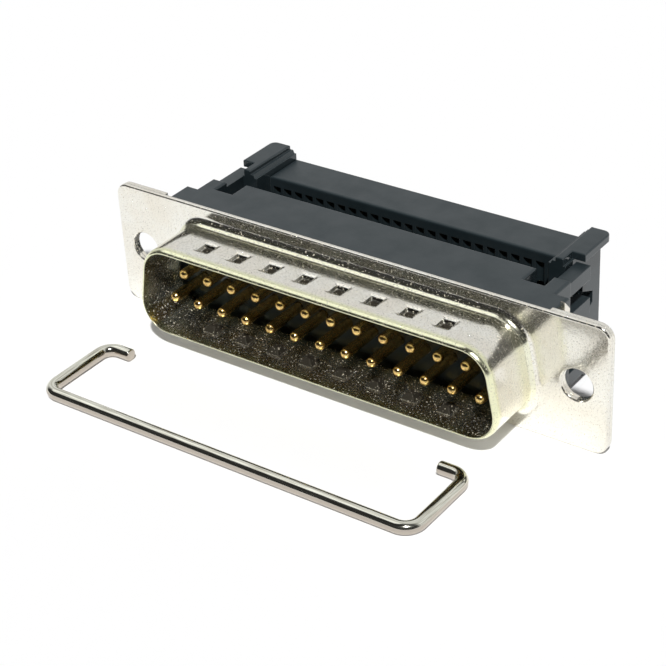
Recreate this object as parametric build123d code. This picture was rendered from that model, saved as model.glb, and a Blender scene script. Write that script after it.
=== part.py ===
from build123d import *
import os
from math import cos, radians, sqrt, tan

# D-sub plug for ribbon cable: drawn metal shell with two end brackets, moulded insulator with
# pin contacts, press-on cover in its open place, and the wire bail that clamps the cable.
# X runs along the connector, +Y from the mating side to the cable side, Z up.
# The origin is the middle of the flange's front face, between the two screw holes.

# Contacts: round pins in two rows in front, forked blades on the ribbon's pitch behind
contact_count = 25
pin_pitch = 2.77
row_gap = 2.84
pin_diameter = 1.02
pin_inset = 1.5
pin_root = 1.2
blade_thickness = 0.4
barb_width = 1.5
barb_length = 1.7
stem_width = 0.8
jog_length = 2.3
fork_pitch = 1.27
fork_width = 1.1
fork_slot = 0.32
fork_slot_length = 2.2
fork_reach = 2.6
fork_lead = 0.25
passage_gap = 0.04

# Metal shell, one sheet: a D-shaped collar, wide side down, drawn from a flange
shell_sheet = 0.38
collar_margin = 2.86
collar_height = 8.36
collar_slant = 10.0
collar_corner = 2.6
collar_depth = 6.0
collar_root_round = 0.85
collar_lip_round = 0.75
collar_lip_edge = 0.1
flange_rim = 2.095
flange_margin = 3.0
flange_corner = 1.3
flange_edge_round = 0.2
screw_margin = 4.04
screw_hole = 3.05
screw_hole_bevel = 0.1

# Dimples pressed into the collar's two long sides
dimple_count = 8
dimple_pitch = 3.68
dimple_inset = 3.4
dimple_mouth = 1.45
dimple_floor = 0.6
dimple_sink = 0.58
dimple_bevel = 0.14

# End brackets, one stamping used twice, that double the flange's ends and hold the insulator
bracket_sheet = 0.42
strap_low = 4.4
strap_top = 5.2
strap_back = 3.0
strap_hook = 0.45
barb_front = 2.1
barb_top = 6.2

# Insulator
body_step = 0.475
base_step = 1.25
base_depth = 3.27
boss_front = 0.3
shoulder_step = 0.21
shoulder_depth = 2.45
carrier_margin = 0.61
carrier_depth = 0.55
notch_width = 2.0
notch_depth = 1.7
mould_round = 0.25

# Guide rails and latch tongue at each end of the insulator
rail_thickness = 1.39
rail_length = 4.2
rail_step = 0.51
rail_depth = 1.35
rail_lead = 0.25
tongue_height = 4.2
tooth_height = 0.9
tooth_reach = 1.0
tooth_tip = 0.25

# Cover, open by the distance that it travels when pressed home
cover_travel = 3.0
pressed_ribbon = 0.8
cover_depth = 4.35
cover_step = 0.57
cover_groove = 0.45
cover_groove_rim = 1.0
pocket_gap = 0.15
pocket_depth = 2.5
post_gap = 0.15
post_side_gap = 0.18
post_end_gap = 0.95
post_step = 0.25
ear_step = 0.7
ear_nose = 0.75
ear_lip = 1.1
ear_set_back = 1.6
ear_corner = 0.7
ear_edge_round = 0.15
flank_ledge = 0.35
flank_drop = 0.42
window_inset = 0.85
window_lead = 0.7
window_flat = 1.7
window_tail = 1.9
window_height = 5.0
window_neck = 2.84
window_end = 1.2
window_floor = 0.6

# Wire bail, lying on the surface that the connector stands on
wire = 1.2
bail_spring = 0.25
bail_hook = 2.8
bail_bend = 1.4
bail_left = -21.1
bail_run = -17.75
ribbon_thickness = 0.9
hook_hole_gap = 0.15
hook_hole_inset = 1.05

# How near an edge lies to a level to be counted as on it
near = 0.01

# Sizes that follow from those above
half_pitch = pin_pitch / 2
last_contact = contact_count - 1
collar_width = last_contact * half_pitch + 2 * collar_margin
collar_end = collar_width / 2
collar_top = collar_height / 2
lip_cosine = 1 - (shell_sheet - collar_lip_edge) / collar_lip_round
lip_trim = collar_lip_round * (1 - sqrt(1 - lip_cosine ** 2))
draw_round = collar_root_round + shell_sheet
screw_place = collar_end + screw_margin
flange_end = screw_place + flange_margin
flange_top = collar_top + flange_rim
pin_front = collar_depth - pin_inset
barb_back = pin_root + barb_length
jog_back = barb_back + jog_length
body_top = flange_top - body_step
base_back = shell_sheet + base_depth
shoulder_back = base_back + shoulder_depth
carrier_back = shoulder_back + carrier_depth
fork_back = carrier_back + fork_reach
notch_front = shoulder_back - notch_depth
carrier_end = last_contact * fork_pitch / 2 + carrier_margin
rail_inner = carrier_end + notch_width
rail_outer = rail_inner + rail_thickness
rail_back = shoulder_back + rail_length
rail_top = body_top - rail_step
shoulder_end = rail_outer + shoulder_step
base_end = shoulder_end + base_step
cover_front = carrier_back + pressed_ribbon + cover_travel
cover_back = cover_front + cover_depth
post_front = notch_front + post_end_gap + cover_travel
post_inner = carrier_end + post_gap
post_outer = rail_inner - post_side_gap
post_top = body_top - post_step
cover_top = post_top - cover_step
ear_inner = post_inner + ear_step
ear_outer = post_outer + ear_lip
ear_top = flange_top
window_front = post_front + window_inset
tooth_front = window_front + hook_hole_gap
hook_hole = wire + 2 * hook_hole_gap
hook_hole_place = base_back + hook_hole_inset
bail_arm = cover_back - cover_travel + ribbon_thickness + wire / 2 - hook_hole_place
bail_width = 2 * (shoulder_end + wire / 2 - bail_spring)


def block(x_range, y_range, z_range):
    """A box between two values on each axis."""
    centre = [(low + high) / 2 for low, high in (x_range, y_range, z_range)]
    size = [high - low for low, high in (x_range, y_range, z_range)]
    return Pos(*centre) * Box(*size)


def slab(outline, front, back):
    """An outline drawn in X and Z, carried along Y from front to back."""
    return extrude(Plane.XZ.offset(-back) * outline, amount=back - front, dir=(0, -1, 0))


def plate(outline, low, high):
    """An outline drawn in X and Y, carried along Z from low to high."""
    return extrude(Plane.XY.offset(low) * outline, amount=high - low, dir=(0, 0, 1))


def end_wall(outline, low, high):
    """An outline drawn in Y and Z, carried along X from low to high."""
    return extrude(Plane.YZ.offset(low) * outline, amount=high - low, dir=(1, 0, 0))


def both_ends(piece):
    """The piece at the right end and its mirror image at the left."""
    return Part() + [piece, mirror(piece, about=Plane.YZ)]


def top_and_bottom(piece):
    """The upper piece and its mirror image below."""
    return Part() + [piece, mirror(piece, about=Plane.XY)]


def edges_at(piece, axis, place):
    """The edges that lie wholly at one place along an axis."""
    return piece.edges().filter_by_position(axis, place - near, place + near)


def in_collar(edges, grow):
    """Those edges that lie within the collar's D, grown outwards all round."""
    return [edge for edge in edges
            if abs(edge.center().X) < collar_end + grow and abs(edge.center().Z) < collar_top + grow]


def d_outline(grow):
    """The collar's inner D, wide side down, grown outwards all round."""
    low = -collar_top - grow
    high = collar_top + grow
    slant = radians(collar_slant)
    wide = collar_end + grow * (tan(slant) + 1 / cos(slant))
    narrow = wide - (high - low) * tan(slant)
    shape = Polygon((-wide, low), (wide, low), (narrow, high), (-narrow, high), align=None)
    return fillet(shape.vertices(), collar_corner + grow)


def flange_outline():
    """The flange's rounded rectangle."""
    return RectangleRounded(2 * flange_end, 2 * flange_top, flange_corner)


def screw_circle(grow):
    """The right screw hole, grown outwards all round."""
    return Pos(screw_place, 0) * Circle(screw_hole / 2 + grow)


def front_shell():
    """Flange and drawn collar in one sheet, with screw holes and dimples."""
    front = -collar_depth - lip_trim
    flange = slab(flange_outline(), 0, shell_sheet)
    flange = fillet(edges_at(flange, Axis.Y, 0), flange_edge_round)
    shell = flange + slab(d_outline(shell_sheet), front, shell_sheet)
    shell = fillet(in_collar(edges_at(shell, Axis.Y, 0), shell_sheet + near), collar_root_round)
    shell = fillet(edges_at(shell, Axis.Y, front), collar_lip_round)
    shell -= slab(d_outline(0), front, shell_sheet)
    shell -= block((-flange_end, flange_end), (front, -collar_depth), (-flange_top, flange_top))
    shell = fillet(in_collar(edges_at(shell, Axis.Y, shell_sheet), near), draw_round)
    bevel = extrude(Plane.XZ * screw_circle(screw_hole_bevel), amount=-screw_hole_bevel, taper=45)
    shell -= both_ends(slab(screw_circle(0), 0, shell_sheet) + bevel)
    bumps, dents = dimples()
    shell = shell + bumps - dents
    outer = collar_top + shell_sheet
    flats = edges_at(shell, Axis.Z, outer) + edges_at(shell, Axis.Z, -outer)
    return chamfer([edge for edge in flats if edge.length < dimple_mouth + near], dimple_bevel)


def dimples():
    """The pressed bumps inside the collar and the dents that they leave outside."""
    outer_face = collar_top + shell_sheet
    bump = pyramid(collar_top)
    dent = pyramid(outer_face)
    row = Pos(0, -dimple_inset, 0) * GridLocations(dimple_pitch, 1, dimple_count, 1)
    bumps = Part() + [place * bump for place in row]
    dents = Part() + [place * dent for place in row]
    return top_and_bottom(bumps), top_and_bottom(dents)


def pyramid(mouth_level):
    """A blunt square pyramid that points down from its mouth."""
    mouth = Plane.XY.offset(mouth_level) * Rectangle(dimple_mouth, dimple_mouth)
    floor = Plane.XY.offset(mouth_level - dimple_sink) * Rectangle(dimple_floor, dimple_floor)
    return loft([mouth, floor])


def end_bracket():
    """The right end's bracket: a plate behind the flange and two straps bent back, the upper one barbed."""
    back = shell_sheet + bracket_sheet
    beside_base = block((base_end, flange_end), (shell_sheet, back), (-flange_top, flange_top))
    plate_end = slab(flange_outline() - screw_circle(0), shell_sheet, back) & beside_base
    tooth = Polygon((barb_front, strap_top), (strap_back, strap_top), (barb_front, barb_top), align=None)
    barb = end_wall(tooth, base_end, base_end + bracket_sheet)
    return plate_end + top_and_bottom(strap()) + barb


def strap():
    """A strap along the base's end, hooked into the insulator."""
    upright = (strap_low, strap_top)
    run = block((base_end, base_end + bracket_sheet), (shell_sheet, strap_back), upright)
    hook = block((base_end - strap_hook, base_end), (barb_front, barb_front + bracket_sheet), upright)
    return run + hook


def strap_pocket():
    """The pocket in the base's end that takes a strap's hook."""
    along = (barb_front - passage_gap, barb_front + bracket_sheet + passage_gap)
    upright = (strap_low - passage_gap, strap_top + passage_gap)
    return block((base_end - strap_hook - passage_gap, base_end), along, upright)


def pin_place(number):
    """X and Z of a pin: even numbers in the wide row below, odd ones in the narrow row above."""
    along = (number - last_contact / 2) * half_pitch
    level = -row_gap / 2 if number % 2 == 0 else row_gap / 2
    return along, level


def fork_place(number):
    """X of a contact's fork, on the ribbon cable's own pitch."""
    return (number - last_contact / 2) * fork_pitch


def blade_outline(number, grow):
    """Flat part of a contact in X and Y: barb, stem that steps across, and fork without its slot."""
    pin, _ = pin_place(number)
    fork = fork_place(number)
    barb = barb_width / 2 + grow
    stem = stem_width / 2 + grow
    arm = fork_width / 2 + grow
    left = [(pin - barb, pin_root - grow), (pin - barb, barb_back + grow), (pin - stem, barb_back + grow),
            (fork - arm, jog_back), (fork - arm, fork_back)]
    right = [(fork + arm, fork_back), (fork + arm, jog_back), (pin + stem, barb_back + grow),
             (pin + barb, barb_back + grow), (pin + barb, pin_root - grow)]
    return Polygon(*left, *right, align=None)


def contact(number):
    """A pin turned round at the front and stamped flat behind, ending in a forked blade."""
    along, level = pin_place(number)
    radius = pin_diameter / 2
    nose = Pos(along, -pin_front + radius, level) * Sphere(radius)
    shank = slab(Pos(along, level) * Circle(radius), -pin_front + radius, pin_root)
    low = level - blade_thickness / 2
    high = level + blade_thickness / 2
    blade = plate(blade_outline(number, 0), low, high)
    fork = fork_place(number)
    gap = fork_slot / 2
    slot = block((fork - gap, fork + gap), (fork_back - fork_slot_length, fork_back), (low, high))
    mouth = gap + fork_lead
    throat = Polygon((fork - gap, fork_back - fork_lead), (fork + gap, fork_back - fork_lead),
                     (fork + mouth, fork_back), (fork - mouth, fork_back), align=None)
    return nose + shank + blade - slot - plate(throat, low, high)


def contact_passage(number):
    """The way through the insulator that holds one contact."""
    along, level = pin_place(number)
    bore = slab(Pos(along, level) * Circle(pin_diameter / 2 + passage_gap), boss_front, pin_root)
    low = level - blade_thickness / 2 - passage_gap
    high = level + blade_thickness / 2 + passage_gap
    return bore + plate(blade_outline(number, passage_gap), low, high)


def insulator():
    """Moulded body: front boss, base, carrier block, end notches, rails and latch tongues."""
    top = (-body_top, body_top)
    base = block((-base_end, base_end), (shell_sheet, base_back), top)
    shoulder = block((-shoulder_end, shoulder_end), (base_back, shoulder_back), top)
    carrier = block((-carrier_end, carrier_end), (shoulder_back, carrier_back), top)
    body = base + shoulder + carrier
    body -= both_ends(block((carrier_end, rail_inner), (notch_front, shoulder_back), top))
    body = fillet(edges_at(body, Axis.Z, body_top) + edges_at(body, Axis.Z, -body_top), mould_round)
    boss = slab(d_outline(-passage_gap), boss_front, shell_sheet)
    hole_end = bail_width / 2 - bail_hook
    hole = end_wall(Pos(hook_hole_place, 0) * Circle(hook_hole / 2), hole_end, shoulder_end)
    body = body + boss + both_ends(end_guides())
    body -= both_ends(hole)
    body -= both_ends(top_and_bottom(strap_pocket()))
    return body - [contact_passage(number) for number in range(contact_count)]


def end_guides():
    """Two guide rails and, between them, the tongue whose tooth runs in the cover's window."""
    across = (rail_inner, rail_outer)
    along = (shoulder_back, rail_back)
    rail = block(across, along, (rail_top - rail_depth, rail_top))
    tongue = block(across, along, (-tongue_height / 2, tongue_height / 2))
    rail = chamfer(edges_at(rail, Axis.Y, rail_back), rail_lead)
    tongue = chamfer(edges_at(tongue, Axis.Y, rail_back), rail_lead)
    tooth = Polygon((rail_inner, tooth_front), (rail_inner - tooth_reach, tooth_front),
                    (rail_inner - tooth_reach, tooth_front + tooth_tip),
                    (rail_inner, rail_back - rail_lead), align=None)
    return top_and_bottom(rail) + tongue + plate(tooth, -tooth_height / 2, tooth_height / 2)


def cover():
    """Pressing bar with cable grooves and fork pockets, a guide post and two lipped ears at each end."""
    bar = block((-post_inner, post_inner), (cover_front, cover_back), (-cover_top, cover_top))
    bar = fillet(edges_at(bar, Axis.Z, cover_top) + edges_at(bar, Axis.Z, -cover_top), mould_round)
    groove_top = cover_top - cover_groove_rim
    wide = fork_width / 2 + pocket_gap
    thick = blade_thickness / 2 + pocket_gap
    cuts = []
    for number in range(contact_count):
        fork = fork_place(number)
        _, level = pin_place(number)
        cuts.append(plate(Pos(fork, cover_front) * Circle(cover_groove), -groove_top, groove_top))
        cuts.append(block((fork - wide, fork + wide), (cover_front, cover_front + pocket_depth),
                          (level - thick, level + thick)))
    return bar - cuts + both_ends(end_post())


def end_post():
    """Guide post with its latch window, and the ears above and below it."""
    post = block((post_inner, post_outer), (post_front, cover_back), (-post_top, post_top))
    post += top_and_bottom(ear())
    wide_front = window_front + window_lead
    wide_back = wide_front + window_flat
    back = wide_back + window_tail
    upper = [(window_front, window_end / 2), (wide_front, window_height / 2), (wide_back, window_height / 2),
             (wide_back, window_neck / 2), (back, window_end / 2)]
    lower = [(along, -level) for along, level in reversed(upper)]
    window = Polygon(*upper, *lower, align=None)
    return post - end_wall(window, post_inner + window_floor, post_outer)


def ear():
    """An ear: lipped top with a nose at the inner side, stepped down to the bar on the inside."""
    nose = ear_inner + ear_nose
    lip_front = post_front + ear_set_back
    lip = Polygon((ear_inner, post_front), (nose, post_front), (nose, lip_front), (ear_outer, lip_front),
                  (ear_outer, cover_back), (ear_inner, cover_back), align=None)
    lip = plate(lip, post_top, ear_top)
    lip = fillet(lip.edges().filter_by(Axis.Z).group_by(SortBy.DISTANCE)[-1], ear_corner)
    lip = fillet(edges_at(lip, Axis.Z, ear_top), ear_edge_round)
    ledge = ear_top - flank_drop
    flank = Polygon((post_inner, cover_top), (ear_inner - flank_ledge, ledge), (ear_inner, ledge),
                    (ear_inner, cover_top), align=None)
    return lip + slab(flank, post_front, cover_back)


def wire_bail():
    """Round wire bent into a long run, two arms and two inward hooks."""
    level = wire / 2 - flange_top
    right = bail_left + bail_width
    tip = bail_run + bail_arm
    route = FilletPolyline((bail_left + bail_hook, tip, level), (bail_left, tip, level),
                           (bail_left, bail_run, level), (right, bail_run, level),
                           (right, tip, level), (right - bail_hook, tip, level), radius=bail_bend)
    section = Plane(origin=route @ 0, z_dir=route % 0) * Circle(wire / 2)
    return sweep(section, path=route)


os.makedirs("parts", exist_ok=True)
pieces = {
    "front_shell": front_shell(),
    "end_bracket_right": end_bracket(),
    "end_bracket_left": Rot(0, 180, 0) * end_bracket(),
    "insulator": insulator(),
    "cover": cover(),
    "wire_bail": wire_bail(),
}
for number in range(contact_count):
    pieces[f"contact_{number + 1:02d}"] = contact(number)
for name, piece in pieces.items():
    export_step(piece, f"parts/{name}.step")
    print(name, len(piece.solids()), round(piece.volume, 2))
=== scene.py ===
"""Looks of a 25-way ribbon-cable D-sub plug and its loose wire bail, laid on a pale studio floor."""

import logging
import math
from dataclasses import dataclass
from enum import Enum
from typing import Protocol, Sequence

import bpy
import numpy as np
from mathutils import Matrix, Vector


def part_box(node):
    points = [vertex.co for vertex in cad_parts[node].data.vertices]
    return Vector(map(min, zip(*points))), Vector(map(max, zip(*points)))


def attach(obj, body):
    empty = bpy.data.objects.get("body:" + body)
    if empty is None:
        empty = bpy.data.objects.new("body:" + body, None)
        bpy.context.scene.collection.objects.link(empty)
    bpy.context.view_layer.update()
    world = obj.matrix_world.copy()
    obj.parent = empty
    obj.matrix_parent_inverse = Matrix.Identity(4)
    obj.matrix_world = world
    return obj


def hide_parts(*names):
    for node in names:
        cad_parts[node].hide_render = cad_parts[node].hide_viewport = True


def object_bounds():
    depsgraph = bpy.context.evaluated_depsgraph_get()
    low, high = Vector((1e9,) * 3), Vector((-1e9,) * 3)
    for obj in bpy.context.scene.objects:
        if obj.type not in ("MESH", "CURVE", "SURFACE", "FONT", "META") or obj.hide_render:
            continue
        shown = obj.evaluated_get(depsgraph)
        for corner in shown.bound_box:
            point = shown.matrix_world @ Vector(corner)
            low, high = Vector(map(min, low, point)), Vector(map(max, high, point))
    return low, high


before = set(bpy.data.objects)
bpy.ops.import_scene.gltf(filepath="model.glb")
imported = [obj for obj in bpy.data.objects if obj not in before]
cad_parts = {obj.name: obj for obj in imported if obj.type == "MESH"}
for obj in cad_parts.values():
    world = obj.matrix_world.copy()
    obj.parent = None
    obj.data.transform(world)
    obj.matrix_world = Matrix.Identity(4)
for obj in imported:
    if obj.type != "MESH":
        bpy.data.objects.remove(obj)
CAD_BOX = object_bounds()

LOG = logging.getLogger("plug")
MM = 0.001
QUARTER_TURN = math.pi / 2
WHITE = (1.0, 1.0, 1.0, 1.0)

Colour = tuple[float, float, float]
Range = tuple[float, float]
Socket = bpy.types.NodeSocket


class Slot(Enum):
    """The record's material slots."""

    SHELL = "plated_shell"
    MOULDING = "moulding"
    CONTACT = "gold_contact"
    WIRE = "bail_wire"


class Graph:
    """A node tree under construction, with short calls for the nodes that the finishes share."""

    NOISE_ROUGHNESS: float = 0.55
    NOISE_RANGE: Range = (0.3, 0.7)
    EDGE_SAMPLES: int = 6
    EDGE_LEAN: Range = (0.80, 0.99)

    def __init__(self, tree: bpy.types.NodeTree) -> None:
        """Starts from an empty tree.

        Args:
            tree: the node tree of a material or of the world.
        """
        self.tree = tree
        self.tree.nodes.clear()

    def add(self, kind: str, **settings: object) -> bpy.types.Node:
        """Adds one node.

        Args:
            kind: the node's type name without its Shader prefix.
            settings: attributes to set on the node.
        Returns:
            The new node.
        """
        node = self.tree.nodes.new("ShaderNode" + kind)
        for name, value in settings.items():
            setattr(node, name, value)
        return node

    def put(self, socket: Socket, value: object) -> None:
        """Links an input from another socket, or sets it to a plain value.

        Args:
            socket: the input.
            value: a socket to link from, or a plain value.
        """
        if isinstance(value, Socket):
            self.tree.links.new(value, socket)
        else:
            socket.default_value = value

    def feed(self, node: bpy.types.Node, **values: object) -> bpy.types.Node:
        """Fills a node's inputs, by their names with underscores for spaces.

        Args:
            node: the node to feed.
            values: a socket to link from, or a plain value to set, for each input.
        Returns:
            The same node.
        """
        for name, value in values.items():
            self.put(node.inputs[name.replace("_", " ")], value)
        return node

    def object_point(self) -> Socket:
        """The shaded point in the object's own frame."""
        return self.add("TexCoord").outputs["Object"]

    def own_map(self) -> Socket:
        """The shaded point in the piece's own UV map."""
        return self.add("TexCoord").outputs["UV"]

    def normal(self) -> Socket:
        """The surface's own normal."""
        return self.add("NewGeometry").outputs["Normal"]

    def axes(self, vector: Socket) -> bpy.types.bpy_prop_collection:
        """A vector's parts, under the names X, Y and Z."""
        return self.feed(self.add("SeparateXYZ"), Vector=vector).outputs

    def stretched(self, point: Socket, scale: Sequence[float]) -> Socket:
        """A point stretched by a factor along each axis."""
        return self.feed(self.add("Mapping"), Vector=point, Scale=tuple(scale)).outputs["Vector"]

    def reckon(self, operation: str, *values: Socket | float) -> Socket:
        """One value worked out from others.

        Args:
            operation: the Math node's name for the sum.
            values: a socket to link from, or a plain number, for each input in turn.
        Returns:
            The result.
        """
        node = self.add("Math", operation=operation)
        for socket, value in zip(node.inputs, values):
            self.put(socket, value)
        return node.outputs["Value"]

    def product(self, first: Socket, *others: Socket) -> Socket:
        """Values multiplied together.

        Args:
            first: the first value.
            others: the values to multiply it by.
        Returns:
            The product.
        """
        for other in others:
            first = self.reckon("MULTIPLY", first, other)
        return first

    def distance(self, value: Socket, middle: float) -> Socket:
        """How far a value lies from a middle, on either side."""
        return self.reckon("ABSOLUTE", self.reckon("SUBTRACT", value, middle))

    def dot(self, first: Socket, second: Socket | Sequence[float]) -> Socket:
        """The dot product of two vectors.

        Args:
            first: the first vector.
            second: the second vector, as a socket or as plain numbers.
        Returns:
            The product.
        """
        node = self.add("VectorMath", operation="DOT_PRODUCT")
        self.put(node.inputs[0], first)
        self.put(node.inputs[1], second)
        return node.outputs["Value"]

    def noise(self, point: Socket, size: float, detail: float = 3.0) -> Socket:
        """Cloudy noise.

        Args:
            point: where it is read.
            size: the width of one cloud in metres.
            detail: how many finer layers lie on it.
        Returns:
            A value about 0.5.
        """
        node = self.add("TexNoise")
        self.feed(node, Vector=point, Scale=1.0 / size, Detail=detail, Roughness=self.NOISE_ROUGHNESS)
        return node.outputs["Fac"]

    def ramp(self, value: Socket, places: Range, start: Colour, end: Colour) -> Socket:
        """A colour that runs from one to another.

        Args:
            value: the value that picks the colour.
            places: the values at which the run starts and ends.
            start: the colour at its start.
            end: the colour at its end.
        Returns:
            The colour.
        """
        node = self.add("ValToRGB")
        for element, place, colour in zip(node.color_ramp.elements, places, (start, end)):
            element.position = place
            element.color = (*colour, 1.0)
        return self.feed(node, Fac=value).outputs["Color"]

    def spread(self, value: Socket, low: float, high: float, source: Range = NOISE_RANGE,
               course: str = "LINEAR") -> Socket:
        """A value spread over a range.

        Args:
            value: the value, such as a noise.
            low: the result at the source range's start.
            high: the result at its end.
            source: the value's own useful range.
            course: the Map Range node's name for the way between them.
        Returns:
            The value, held inside the range.
        """
        node = self.add("MapRange", clamp=True, interpolation_type=course)
        self.feed(node, Value=value, From_Min=source[0], From_Max=source[1], To_Min=low, To_Max=high)
        return node.outputs["Result"]

    def bump(self, height: Socket, depth: float, strength: float, under: Socket | None = None) -> Socket:
        """A bumped normal.

        Args:
            height: the relief, from 0 to 1.
            depth: how deep the relief is, in metres.
            strength: how much of it shows.
            under: another normal that this one lies on.
        Returns:
            The normal.
        """
        node = self.add("Bump")
        self.feed(node, Height=height, Distance=depth, Strength=strength)
        if under is not None:
            self.feed(node, Normal=under)
        return node.outputs["Normal"]

    def soft_edges(self, radius: float) -> Socket:
        """The surface's normal with every edge rounded off to a radius."""
        return self.feed(self.add("Bevel", samples=self.EDGE_SAMPLES), Radius=radius).outputs["Normal"]

    def edge_mask(self, soft: Socket) -> Socket:
        """How far a softened normal leans from the surface's own: 0 on flats, 1 on edges."""
        return self.spread(self.dot(soft, self.normal()), 1.0, 0.0, self.EDGE_LEAN)

    def mixed(self, share: Socket, ground: Socket, over: Colour) -> Socket:
        """A colour laid over another by a share.

        Args:
            share: how much of the upper colour shows.
            ground: the lower colour.
            over: the upper colour.
        Returns:
            The colour.
        """
        node = self.add("MixRGB")
        return self.feed(node, Fac=share, Color1=ground, Color2=(*over, 1.0)).outputs["Color"]

    def matt(self, colour: Colour) -> Socket:
        """A plain matt shader."""
        return self.feed(self.add("BsdfDiffuse"), Color=(*colour, 1.0)).outputs["BSDF"]

    def seen_as(self, share: Socket, seen: Socket, others: Socket) -> Socket:
        """One shader for the rays that a share picks and another for all the rest.

        Args:
            share: 1 for the rays that see the first shader.
            seen: the shader that those rays see.
            others: the shader for all other rays.
        Returns:
            The shader that picks between them.
        """
        node = self.feed(self.add("MixShader"), Fac=share)
        self.put(node.inputs[1], others)
        self.put(node.inputs[2], seen)
        return node.outputs["Shader"]

    def surface(self, **values: object) -> None:
        """Ends a material in one Principled shader, with its inputs by name."""
        shader = self.feed(self.add("BsdfPrincipled"), **values)
        self.feed(self.add("OutputMaterial"), Surface=shader.outputs["BSDF"])


def new_material(name: str) -> tuple[bpy.types.Material, Graph]:
    """Makes a material with no nodes yet.

    Args:
        name: the material's name.
    Returns:
        The material, and its node tree under construction.
    """
    made = bpy.data.materials.new(name)
    made.use_nodes = True
    return made, Graph(made.node_tree)


def heading(azimuth: float, elevation: float) -> Vector:
    """The unit step from the part towards a place round it.

    Args:
        azimuth: the angle from straight in front towards the right, in degrees.
        elevation: the angle above the floor, in degrees.
    Returns:
        The step.
    """
    turn, rise = math.radians(azimuth), math.radians(elevation)
    return Vector((math.sin(turn) * math.cos(rise), -math.cos(turn) * math.cos(rise), math.sin(rise)))


class Finish(Protocol):
    """What every finish gives."""

    def material(self) -> bpy.types.Material:
        """The finish as a material."""


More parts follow.
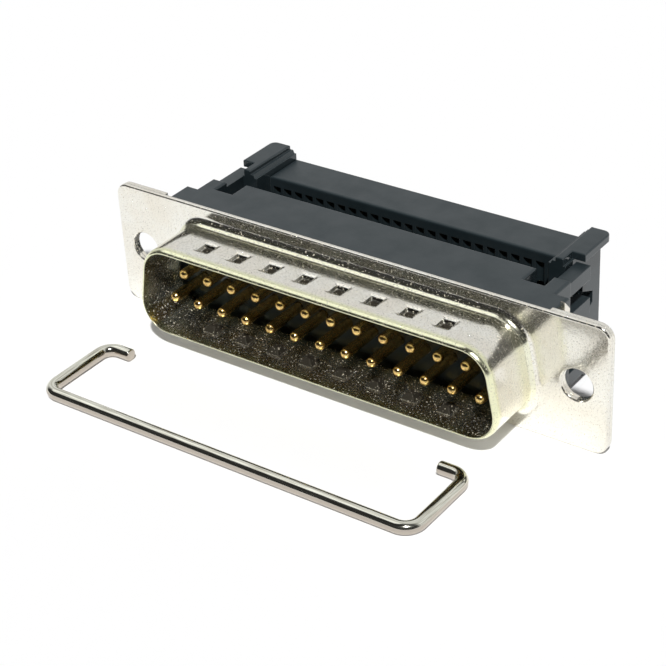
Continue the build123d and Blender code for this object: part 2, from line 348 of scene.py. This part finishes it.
@dataclass(frozen=True)
class PlatedTin:
    """Bright tin plate on drawn steel: a pale metal with a fine grain, pits and flecks.

    Places are lengths in the plug's own frame: dents and bumps are the two sides of the collar's dimples,
    whose walls carry a painted shade.
    """

    pale: Colour = (0.92, 0.91, 0.85)
    warm: Colour = (0.87, 0.83, 0.74)
    cloud: float = 4.0 * MM
    clouds: Range = (0.35, 0.68)
    grain: float = 0.11 * MM
    tarnish: Colour = (0.74, 0.72, 0.62)
    tarnish_share: float = 0.55
    tarnish_grain: Range = (0.44, 0.66)
    polish: float = 0.10
    dull: float = 0.18
    pit: float = 0.13 * MM
    pit_level: float = 0.635
    pit_depth: float = 0.05 * MM
    pit_strength: float = 0.8
    fleck: float = 0.19 * MM
    fleck_level: float = 0.635
    fleck_shade: Colour = (0.68, 0.62, 0.48)
    spot_rim: float = 0.05
    peel: float = 0.45 * MM
    peel_depth: float = 0.006 * MM
    edge: float = 0.10 * MM
    edge_shade: Colour = (0.47, 0.41, 0.31)
    edge_front: float = -0.12 * MM
    rub: Range = (0.1, 0.9)
    rub_grain: Range = (0.40, 0.60)
    bent_shade: Colour = (0.85, 0.86, 0.57)
    lip_share: float = 0.85
    lip_bend: Range = (-5.5 * MM, -5.0 * MM)
    root_share: float = 0.45
    root_bend: Range = (-2.3 * MM, -1.2 * MM)
    inside_dull: float = 0.20
    inside_top: float = 4.22 * MM
    inside_end: float = 19.7 * MM
    inside_front: float = -0.2 * MM
    inner_wall: float = 4.18 * MM
    wall_skin: Range = (0.01 * MM, 0.04 * MM)
    # Painted shade: the walls of the collar's dimples are darkened to this colour.
    dent_painted_shade: Colour = (0.36, 0.35, 0.30)
    dent_pitch: float = 3.68 * MM
    dent_row: float = 13.75 * MM
    dent_line: float = -3.4 * MM
    dent_reach: float = 0.70 * MM
    dent_rim: float = 4.40 * MM
    # Painted shade: the bumps inside the collar are darkened to nearly black, like the shade in there.
    bump_painted_shade: Colour = (0.06, 0.054, 0.042)
    bump_dull: float = 0.60
    drawn_in: Range = (0.62 * MM, 1.15 * MM)
    drawn_depth: float = 0.06 * MM
    drawn_round: float = 0.5 * MM
    drawn_row: float = 14.1 * MM
    fade: float = 0.04 * MM

    def material(self) -> bpy.types.Material:
        """Plate with dull flecks, and a painted shade on the walls of the collar's dimples.

        Returns:
            The material.
        """
        made, graph = new_material("plated_tin")
        point = graph.object_point()
        grain = graph.noise(point, self.grain, detail=2.0)
        soft = graph.soft_edges(self.edge)
        flecks = self.spots(graph, point, self.fleck, self.fleck_level)
        inside = self.inside(graph, point)
        dimple_painted_shade_mask = self.punched(graph, point)
        bumps = graph.product(dimple_painted_shade_mask, inside)
        # Painted shade on the walls of the dimples.
        colour = graph.mixed(dimple_painted_shade_mask, self.plate(graph, point, grain, soft), self.dent_painted_shade)
        # Painted shade on the bumps inside the collar.
        colour = graph.mixed(bumps, colour, self.bump_painted_shade)
        graph.surface(
            Metallic=graph.reckon("SUBTRACT", 1.0, flecks),
            Base_Color=graph.mixed(flecks, colour, self.fleck_shade),
            Roughness=self.roughness(graph, grain, inside, bumps),
            Normal=self.relief(graph, point, soft),
        )
        return made

    def plate(self, graph: Graph, point: Socket, grain: Socket, soft: Socket) -> Socket:
        """The plate's colour: warm clouds, tarnished grain, yellow bends, and edges rubbed on the flange.

        Args:
            graph: the material's nodes.
            point: the shaded point.
            grain: the plate's grain.
            soft: the normal with its edges softened.
        Returns:
            The colour.
        """
        depth = graph.axes(point)["Y"]
        collar = self.ahead_of(graph, depth, self.edge_front)
        flange = graph.reckon("SUBTRACT", 1.0, collar)
        root = graph.product(graph.spread(depth, 0.0, self.root_share, self.root_bend), collar)
        lip = graph.spread(depth, self.lip_share, 0.0, self.lip_bend)
        tarnished = graph.spread(grain, 0.0, self.tarnish_share, self.tarnish_grain)
        rubbed = graph.product(graph.edge_mask(soft), graph.spread(grain, *self.rub, self.rub_grain), flange)
        colour = graph.ramp(graph.noise(point, self.cloud), self.clouds, self.pale, self.warm)
        colour = graph.mixed(tarnished, colour, self.tarnish)
        colour = graph.mixed(graph.reckon("MAXIMUM", root, lip), colour, self.bent_shade)
        return graph.mixed(rubbed, colour, self.edge_shade)

    def roughness(self, graph: Graph, grain: Socket, inside: Socket, bumps: Socket) -> Socket:
        """The plate's roughness, which follows the grain and has a floor inside the collar and on its bumps.

        Args:
            graph: the material's nodes.
            grain: the plate's grain.
            inside: 1 inside the collar.
            bumps: 1 on the bumps inside the collar.
        Returns:
            The roughness.
        """
        plain = graph.spread(grain, self.polish, self.dull)
        inner = graph.reckon("MULTIPLY", inside, self.inside_dull)
        raised = graph.reckon("MULTIPLY", bumps, self.bump_dull)
        return graph.reckon("MAXIMUM", graph.reckon("MAXIMUM", plain, inner), raised)

    def relief(self, graph: Graph, point: Socket, soft: Socket) -> Socket:
        """The normal: the sheet's fall towards the dimples, a faint peel and small pits.

        Args:
            graph: the material's nodes.
            point: the shaded point.
            soft: the normal with its edges softened.
        Returns:
            The normal.
        """
        drawn = graph.bump(self.drawn(graph, point), self.drawn_depth, 1.0, soft)
        peel = graph.bump(graph.noise(point, self.peel, detail=1.0), self.peel_depth, 1.0, drawn)
        pits = self.spots(graph, point, self.pit, self.pit_level)
        return graph.bump(pits, self.pit_depth, self.pit_strength, peel)

    def spots(self, graph: Graph, point: Socket, size: float, level: float) -> Socket:
        """Sparse spots: 1 where a fine noise of a size rises over a level, 0 elsewhere."""
        fine = graph.noise(point, size, detail=2.0)
        return graph.spread(fine, 0.0, 1.0, (level, level + self.spot_rim))

    def near(self, graph: Graph, value: Socket, middle: float, reach: float) -> Socket:
        """1 where a value lies within a reach of a middle, fading to 0 just past it."""
        return graph.spread(graph.distance(value, middle), 1.0, 0.0, (reach, reach + self.fade))

    def ahead_of(self, graph: Graph, depth: Socket, place: float) -> Socket:
        """1 in front of a place along the plug's depth, fading to 0 just before it."""
        return graph.spread(depth, 1.0, 0.0, (place - self.fade, place))

    def drawn(self, graph: Graph, point: Socket) -> Socket:
        """The sheet's fall towards each dimple, where the punch drew it in.

        The height falls from 1 to 0 as the larger of the distances from the dimple's middle, along and across
        the row, goes from the outer to the inner end of the drawn band. Past the row's ends it stays 1.

        Args:
            graph: the material's nodes.
            point: the shaded point.
        Returns:
            The height.
        """
        axes = graph.axes(point)
        turn = graph.reckon("FRACT", graph.reckon("DIVIDE", axes["X"], self.dent_pitch))
        along = graph.reckon("MULTIPLY", graph.distance(turn, 0.5), self.dent_pitch)
        across = graph.distance(axes["Y"], self.dent_line)
        larger = graph.reckon("SMOOTH_MAX", along, across, self.drawn_round)
        height = graph.spread(larger, 0.0, 1.0, self.drawn_in, "SMOOTHSTEP")
        past = graph.reckon("SUBTRACT", 1.0, self.near(graph, axes["X"], 0.0, self.drawn_row))
        return graph.reckon("MAXIMUM", height, past)

    def inside(self, graph: Graph, point: Socket) -> Socket:
        """The collar's inner walls, picked by their place.

        Args:
            graph: the material's nodes.
            point: the shaded point.
        Returns:
            1 within the collar's opening in front of the flange, and 0 elsewhere.
        """
        axes = graph.axes(point)
        return graph.product(self.near(graph, axes["Z"], 0.0, self.inside_top),
                             self.near(graph, axes["X"], 0.0, self.inside_end),
                             self.ahead_of(graph, axes["Y"], self.inside_front))

    def punched(self, graph: Graph, point: Socket) -> Socket:
        """The dents and bumps of the collar's dimples, picked by their place, which get a painted shade.

        Args:
            graph: the material's nodes.
            point: the shaded point.
        Returns:
            1 inside the two rows of dimples, off the collar's own flat faces, and 0 elsewhere.
        """
        axes = graph.axes(point)
        height = graph.distance(axes["Z"], 0.0)
        off_wall = graph.spread(graph.distance(height, self.inner_wall), 0.0, 1.0, self.wall_skin)
        return graph.product(self.near(graph, axes["X"], 0.0, self.dent_row),
                             self.near(graph, axes["Y"], self.dent_line, self.dent_reach),
                             self.near(graph, axes["Z"], 0.0, self.dent_rim), off_wall)


@dataclass(frozen=True)
class BlackMoulding:
    """Black glass-filled plastic with the fine matt texture of its mould, and edges made paler, partly by
    rubbed wear and partly as a painted highlight.
    """

    deep: Colour = (0.013, 0.020, 0.023)
    rubbed: Colour = (0.019, 0.0265, 0.030)
    cloud: float = 2.6 * MM
    clouds: Range = (0.35, 0.70)
    # Paler colour on the edges: partly rubbed wear, partly a painted highlight where the edges catch light.
    worn_and_sheen: Colour = (0.036, 0.043, 0.046)
    wear_and_sheen: Range = (0.15, 1.0)
    wear_and_sheen_cloud: Range = (0.42, 0.62)
    edge: float = 0.09 * MM
    smooth: float = 0.34
    matt: float = 0.46
    polished: float = 0.30
    steep: Range = (0.2, 0.7)
    gloss: Colour = (0.90, 0.97, 1.0)
    refraction: float = 1.52
    texture: float = 0.14 * MM
    relief: float = 0.005 * MM
    relief_strength: float = 0.5

    def material(self) -> bpy.types.Material:
        """Black with faint clouds, edges paler partly by wear and partly as a painted highlight, matt tops,
        and steep faces that the mould's draw polished.

        Returns:
            The material.
        """
        made, graph = new_material("black_moulding")
        point = graph.object_point()
        cloud = graph.noise(point, self.cloud, detail=6.0)
        texture = graph.noise(point, self.texture, detail=2.0)
        soft = graph.soft_edges(self.edge)
        ground = graph.ramp(cloud, self.clouds, self.deep, self.rubbed)
        # Edges made paler: partly rubbed wear, partly a painted highlight.
        wear_and_sheen = graph.product(graph.edge_mask(soft), graph.spread(cloud, *self.wear_and_sheen, self.wear_and_sheen_cloud))
        level = graph.distance(graph.axes(graph.normal())["Z"], 0.0)
        dulled = graph.spread(level, self.polished, 1.0, self.steep)
        graph.surface(
            IOR=self.refraction,
            Base_Color=graph.mixed(wear_and_sheen, ground, self.worn_and_sheen),
            Specular_Tint=(*self.gloss, 1.0),
            Roughness=graph.product(graph.spread(cloud, self.matt, self.smooth), dulled),
            Normal=graph.bump(texture, self.relief, self.relief_strength, soft),
        )
        return made


@dataclass(frozen=True)
class GoldPlate:
    """Thin gold on rolled and stamped contacts, with a few brown patches of handling."""

    bright: Colour = (0.92, 0.67, 0.25)
    brown: Colour = (0.38, 0.21, 0.08)
    cloud: float = 0.25 * MM
    clouds: Range = (0.40, 0.72)
    polish: float = 0.08
    dull: float = 0.20
    relief: float = 0.05 * MM
    relief_strength: float = 0.6

    def material(self) -> bpy.types.Material:
        """Gold with browner clouds that are also a little duller and higher.

        Returns:
            The material.
        """
        made, graph = new_material("gold_plate")
        cloud = graph.noise(graph.object_point(), self.cloud)
        graph.surface(
            Metallic=1.0,
            Base_Color=graph.ramp(cloud, self.clouds, self.bright, self.brown),
            Roughness=graph.spread(cloud, self.polish, self.dull),
            Normal=graph.bump(cloud, self.relief, self.relief_strength),
        )
        return made


@dataclass(frozen=True)
class DrawnWire:
    """Bright drawn spring steel with faint die lines along its length."""

    bright: Colour = (0.84, 0.84, 0.74)
    shaded: Colour = (0.50, 0.48, 0.40)
    shades: Range = (0.30, 0.60)
    # Painted shade: the wire's colour where it faces down, in place of its contact shadow.
    rubbed: Colour = (0.50, 0.45, 0.39)
    underside_painted_shade: Range = (0.25, 0.55)
    polish: float = 0.08
    dull: float = 0.17
    line: float = 0.14 * MM
    line_stretch: float = 0.05
    relief: float = 0.006 * MM
    relief_strength: float = 0.4

    def material(self) -> bpy.types.Material:
        """Steel whose die lines show in colour, gloss and relief, with a painted shade where it faces down.

        Returns:
            The material.
        """
        made, graph = new_material("drawn_wire")
        along = graph.stretched(graph.own_map(), (self.line_stretch, 1.0, 1.0))
        lines = graph.noise(along, self.line, detail=2.0)
        # Painted shade on the wire's downward side.
        low = graph.spread(graph.axes(graph.normal())["Z"], 1.0, 0.0, self.underside_painted_shade)
        steel = graph.ramp(lines, self.shades, self.shaded, self.bright)
        graph.surface(
            Metallic=1.0,
            Base_Color=graph.mixed(low, steel, self.rubbed),
            Roughness=graph.spread(lines, self.polish, self.dull),
            Normal=graph.bump(lines, self.relief, self.relief_strength),
        )
        return made


@dataclass
class Dressed:
    """CAD nodes that keep their own shape and get one finish."""

    names: Sequence[str]
    finish: Finish
    slot: Slot

    def dress(self) -> None:
        """Gives every node the finish."""
        material = self.finish.material()
        for name in self.names:
            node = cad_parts[name]
            node.data.materials.clear()
            node.data.materials.append(material)
            LOG.info("%s: %s", name, material.name)


@dataclass
class WireBail:
    """The loose bail: one round wire bent into a long run, two arms and two inward hooks."""

    finish: Finish
    body: str = "connector"
    wire: float = 1.2 * MM
    hook: float = 2.8 * MM
    bend: float = 1.4 * MM
    cut_round: float = 0.16 * MM
    around: int = 40
    per_bend: int = 14
    per_run: int = 30
    per_cut: int = 5

    def build(self) -> bpy.types.Object:
        """Draws the wire as a tube in the CAD bail's own box, dresses it and puts it in its place.

        Returns:
            The wire's object.
        """
        low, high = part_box("wire_bail")
        inset = self.wire / 2
        left, right, front, back = low.x + inset, high.x - inset, low.y + inset, high.y - inset
        corners = np.array([(left + self.hook, back), (left, back), (left, front),
                            (right, front), (right, back), (right - self.hook, back)])
        middle, ahead, reach = self.stations(self.centre_line(corners))
        verts, quads, fans = self.tube(middle, ahead, reach, low.z + inset)
        mesh = bpy.data.meshes.new("wire_bail_drawn")
        mesh.from_pydata(verts.tolist(), [], quads.tolist() + fans.tolist())
        mesh.uv_layers.new(name="along_wire").data.foreach_set("uv", self.corner_map(middle))
        mesh.polygons.foreach_set("use_smooth", np.ones(len(mesh.polygons), dtype=bool))
        drawn = bpy.data.objects.new("wire_bail_drawn", mesh)
        bpy.context.scene.collection.objects.link(drawn)
        self.dress(drawn)
        return drawn

    def dress(self, drawn: bpy.types.Object) -> None:
        """Gives the wire its finish and lets it stand for the CAD bail.

        Args:
            drawn: the wire's object.
        """
        drawn.data.materials.append(self.finish.material())
        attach(drawn, self.body)
        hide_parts("wire_bail")
        LOG.info("%s: %d faces", drawn.name, len(drawn.data.polygons))

    def centre_line(self, corners: np.ndarray) -> np.ndarray:
        """The bent wire's centre line in X and Y.

        Each corner is an arc about the point that lies one bend radius in from both its sides: with a and b
        the unit steps to the corners before and after, the centre is corner + bend (a + b), and the arc runs
        from centre - bend b to centre - bend a as centre - bend (b cos q + a sin q) for q from 0 to a quarter
        turn. The straight runs are evenly spaced between the arcs.

        Args:
            corners: the corners of the route and its two ends, one row each.
        Returns:
            The points along the wire, one row each.
        """
        before = corners[:-2] - corners[1:-1]
        after = corners[2:] - corners[1:-1]
        before /= np.linalg.norm(before, axis=1, keepdims=True)
        after /= np.linalg.norm(after, axis=1, keepdims=True)
        turn = np.linspace(0.0, QUARTER_TURN, self.per_bend)[None, :, None]
        centre = (corners[1:-1] + self.bend * (before + after))[:, None, :]
        arcs = centre - self.bend * (after[:, None, :] * np.cos(turn) + before[:, None, :] * np.sin(turn))
        starts = np.concatenate([corners[:1], arcs[:, -1]])
        ends = np.concatenate([arcs[:, 0], corners[-1:]])
        share = np.linspace(0.0, 1.0, self.per_run)[1:-1][None, :, None]
        runs = starts[:, None, :] * (1.0 - share) + ends[:, None, :] * share
        bent = np.concatenate([runs[:-1], arcs], axis=1).reshape(-1, 2)
        return np.concatenate([corners[:1], bent, runs[-1], corners[-1:]])

    def stations(self, line: np.ndarray) -> tuple[np.ndarray, np.ndarray, np.ndarray]:
        """Where the rings of the wire's skin stand, with a rounded cut at each end.

        At a cut the section runs in over a quarter circle: r = wire / 2 - cut (1 - cos g) at a distance
        cut (1 - sin g) short of the end, for g from 0 to a quarter turn. Between the cuts r = wire / 2.

        Args:
            line: the points of the centre line in X and Y.
        Returns:
            The rings' middles, the unit steps along the wire there, and the rings' radii.
        """
        step = np.gradient(line, axis=0)
        step /= np.linalg.norm(step, axis=1, keepdims=True)
        swing = np.linspace(0.0, QUARTER_TURN, self.per_cut)
        cut = self.wire / 2 - self.cut_round * (1.0 - np.cos(swing))
        short = self.cut_round * (1.0 - np.sin(swing))[:, None]
        run = self.travel(line)
        inner = np.abs(run - run[-1] / 2) < run[-1] / 2 - self.cut_round
        middle = np.concatenate([line[0] + short[::-1] * step[0], line[inner], line[-1] - short * step[-1]])
        ahead = np.concatenate([np.repeat(step[:1], self.per_cut, 0), step[inner],
                                np.repeat(step[-1:], self.per_cut, 0)])
        reach = np.concatenate([cut[::-1], np.full(inner.sum(), self.wire / 2), cut])
        return middle, ahead, reach

    def tube(self, middle: np.ndarray, ahead: np.ndarray, reach: np.ndarray,
             level: float) -> tuple[np.ndarray, np.ndarray, np.ndarray]:
        """A round section carried along the wire.

        A point is middle(s) + r(s) (cos f side(s) + sin f up), where side is the wire's unit normal in the
        plane. The last point of a ring joins the first, and a fan of triangles about one point closes each
        cut.

        Args:
            middle: the rings' middles in X and Y.
            ahead: the unit steps along the wire there.
            reach: the rings' radii.
            level: the centre line's height.
        Returns:
            The vertices, the quads of the skin and the triangles of the two cuts.
        """
        angle = np.linspace(0.0, 2.0 * math.pi, self.around, endpoint=False)
        side = np.stack([ahead[:, 1], -ahead[:, 0]], axis=1)
        beside = middle[:, None, :] + (reach[:, None] * np.cos(angle))[..., None] * side[:, None, :]
        rise = level + reach[:, None] * np.sin(angle)
        rings = np.concatenate([beside, rise[..., None]], axis=2).reshape(-1, 3)
        poles = np.concatenate([middle[[0, -1]], np.full((2, 1), level)], axis=1)
        corner = np.arange(len(rings)).reshape(rise.shape)
        following = np.roll(corner, -1, axis=1)
        quads = np.stack([corner[:-1], corner[1:], following[1:], following[:-1]], axis=-1).reshape(-1, 4)
        pole = np.full(self.around, len(rings))
        fans = np.concatenate([np.stack([corner[0], following[0], pole], axis=-1),
                               np.stack([following[-1], corner[-1], pole + 1], axis=-1)])
        return np.concatenate([rings, poles]), quads, fans

    def corner_map(self, middle: np.ndarray) -> np.ndarray:
        """The place along and around the wire of every face corner, of the quads and then of the fans.

        Around the wire, the point k of a ring lies at k facets and the next one at k + 1, so that the map
        doesn't run back where a ring closes.

        Args:
            middle: the rings' middles in X and Y.
        Returns:
            The pairs of all corners in one row.
        """
        facet = math.pi * self.wire / self.around
        place = np.repeat(self.travel(middle)[:, None], self.around, axis=1)
        here = np.broadcast_to(facet * np.arange(self.around), place.shape)
        there = here + facet
        skin = np.stack([place[:-1], here[:-1], place[1:], here[1:],
                         place[1:], there[1:], place[:-1], there[:-1]], axis=-1)
        first = np.stack([place[0], here[0], place[0], there[0], place[0], here[0]], axis=-1)
        last = np.stack([place[-1], there[-1], place[-1], here[-1], place[-1], here[-1]], axis=-1)
        return np.concatenate([skin.ravel(), first.ravel(), last.ravel()]).astype(np.float32)

    def travel(self, line: np.ndarray) -> np.ndarray:
        """How far each point lies along a line of points."""
        return np.concatenate([[0.0], np.cumsum(np.linalg.norm(np.diff(line, axis=0), axis=1))])


@dataclass
class Studio:
    """A white floor and backdrop, a roof window, a dim room in front and one lamp beside the viewer."""

    floor_side: float = 3.0
    # Where the floor starts to show dark in metal: a painted dark reflection.
    painted_reflection_edge: Range = (-0.132, -0.11)
    floor_white: Colour = (0.88, 0.88, 0.88)
    floor_lift: float = 0.07
    room_dark: float = 0.033
    backdrop: float = 0.76
    back_rise: Range = (-0.05, 0.25)
    window: float = 1.1
    window_towards: tuple[float, float, float] = (-0.52, 0.02, 0.855)
    window_rim: Range = (22.0, 15.0)
    matt_share: float = 0.22
    lamp_spread: float = 3.4
    lamp_azimuth: float = 35.5
    lamp_elevation: float = 55.0
    lamp_power: float = 3.7

    def build(self) -> None:
        """Makes the world, the floor and the lamp."""
        self.world()
        self.floor()
        self.lamp()

    def world(self) -> None:
        """White to the camera, and to the part a bright back and roof window over a front that is dark."""
        world = bpy.data.worlds.new("studio")
        world.use_nodes = True
        bpy.context.scene.world = world
        graph = Graph(world.node_tree)
        direction = graph.add("TexCoord").outputs["Generated"]
        back = graph.spread(graph.axes(direction)["Y"], self.room_dark, self.backdrop, self.back_rise)
        nearness = graph.dot(direction, Vector(self.window_towards).normalized())
        rim = tuple(math.cos(math.radians(angle)) for angle in self.window_rim)
        roof = graph.spread(nearness, 0.0, self.window, rim)
        rays = graph.add("LightPath").outputs
        share = graph.spread(rays["Is Glossy Ray"], self.matt_share, 1.0, (0.0, 1.0))
        level = graph.product(graph.reckon("MAXIMUM", back, roof), share)
        room = graph.feed(graph.add("Background"), Color=WHITE, Strength=level)
        white = graph.feed(graph.add("Background"), Color=WHITE, Strength=1.0)
        graph.feed(graph.add("OutputWorld"),
                   Surface=graph.seen_as(rays["Is Camera Ray"], white.outputs[0], room.outputs[0]))

    def floor(self) -> None:
        """Lays a flat sheet under the part's lowest point."""
        half = self.floor_side / 2
        low = CAD_BOX[0].z
        corners = [(-half, -half, low), (half, -half, low), (half, half, low), (-half, half, low)]
        mesh = bpy.data.meshes.new("floor")
        mesh.from_pydata(corners, [], [(0, 1, 2, 3)])
        mesh.materials.append(self.paper())
        sheet = bpy.data.objects.new("floor", mesh)
        bpy.context.scene.collection.objects.link(sheet)

    def paper(self) -> bpy.types.Material:
        """Matt white that keeps the part's shadow; past a line in front, metal sees it as dark as the room: a
        painted dark reflection.

        Returns:
            The floor's material.
        """
        made, graph = new_material("floor_paper")
        plain = graph.matt(self.floor_white)
        glow = graph.feed(graph.add("Emission"), Strength=self.floor_lift).outputs["Emission"]
        lifted = graph.add("AddShader")
        graph.put(lifted.inputs[0], plain)
        graph.put(lifted.inputs[1], glow)
        rays = graph.add("LightPath").outputs
        seen = graph.reckon("MAXIMUM", rays["Is Camera Ray"], rays["Is Glossy Ray"])
        sheet = graph.seen_as(seen, lifted.outputs["Shader"], plain)
        # Past this line in front, metal sees the floor as dark as the room, a painted dark reflection; the
        # camera still sees it white.
        past = graph.spread(graph.axes(graph.object_point())["Y"], 1.0, 0.0, self.painted_reflection_edge)
        dim = graph.matt((self.room_dark, self.room_dark, self.room_dark))
        mirrored = graph.seen_as(graph.product(past, rays["Is Glossy Ray"]), dim, sheet)
        graph.feed(graph.add("OutputMaterial"), Surface=mirrored)
        return made

    def lamp(self) -> None:
        """Hangs one soft lamp beside the viewer and higher, which throws the shadows back and down."""
        light = bpy.data.lights.new("softbox", "SUN")
        light.angle = math.radians(self.lamp_spread)
        light.energy = self.lamp_power
        lamp = bpy.data.objects.new("softbox", light)
        towards = heading(self.lamp_azimuth, self.lamp_elevation)
        lamp.rotation_euler = (-towards).to_track_quat("-Z", "Y").to_euler()
        bpy.context.scene.collection.objects.link(lamp)


@dataclass
class PhotoCamera:
    """The camera that took the photograph: angles in degrees round a target, lengths in millimetres."""

    azimuth: float = 37.14
    elevation: float = 31.465
    roll: float = -3.335
    distance: float = 166.19
    target: tuple[float, float, float] = (-1.553, 0.0, -2.798)
    lens: float = 98.607
    sensor: float = 36.0
    clip: Range = (10.0, 10000.0)

    def build(self) -> None:
        """Places the camera and makes it the scene's own."""
        turn, lean = math.radians(self.azimuth), math.radians(self.roll)
        back = heading(self.azimuth, self.elevation)
        level = Vector((math.cos(turn), math.sin(turn), 0.0))
        right = math.cos(lean) * level + math.sin(lean) * back.cross(level)
        axes = Matrix((right, back.cross(right), back)).transposed()
        place = (Vector(self.target) + back * self.distance) * MM
        data = bpy.data.cameras.new("photo_camera")
        data.lens = self.lens
        data.sensor_width = self.sensor
        data.clip_start = self.clip[0] * MM
        data.clip_end = self.clip[1] * MM
        camera = bpy.data.objects.new("photo_camera", data)
        camera.matrix_world = Matrix.Translation(place) @ axes.to_4x4()
        bpy.context.scene.collection.objects.link(camera)
        bpy.context.scene.camera = camera


def main() -> None:
    """Builds the studio, dresses the part and reports each piece."""
    logging.basicConfig(level=logging.INFO, format="%(name)s: %(message)s")
    bpy.context.scene.view_settings.view_transform = "Standard"
    PhotoCamera().build()
    Studio().build()
    contacts = [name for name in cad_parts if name.startswith("contact_")]
    for piece in (
        Dressed(["front_shell", "end_bracket_right", "end_bracket_left"], PlatedTin(), Slot.SHELL),
        Dressed(["insulator", "cover"], BlackMoulding(), Slot.MOULDING),
        Dressed(contacts, GoldPlate(), Slot.CONTACT),
    ):
        piece.dress()
    WireBail(DrawnWire()).build()


if __name__ == "__main__":
    main()
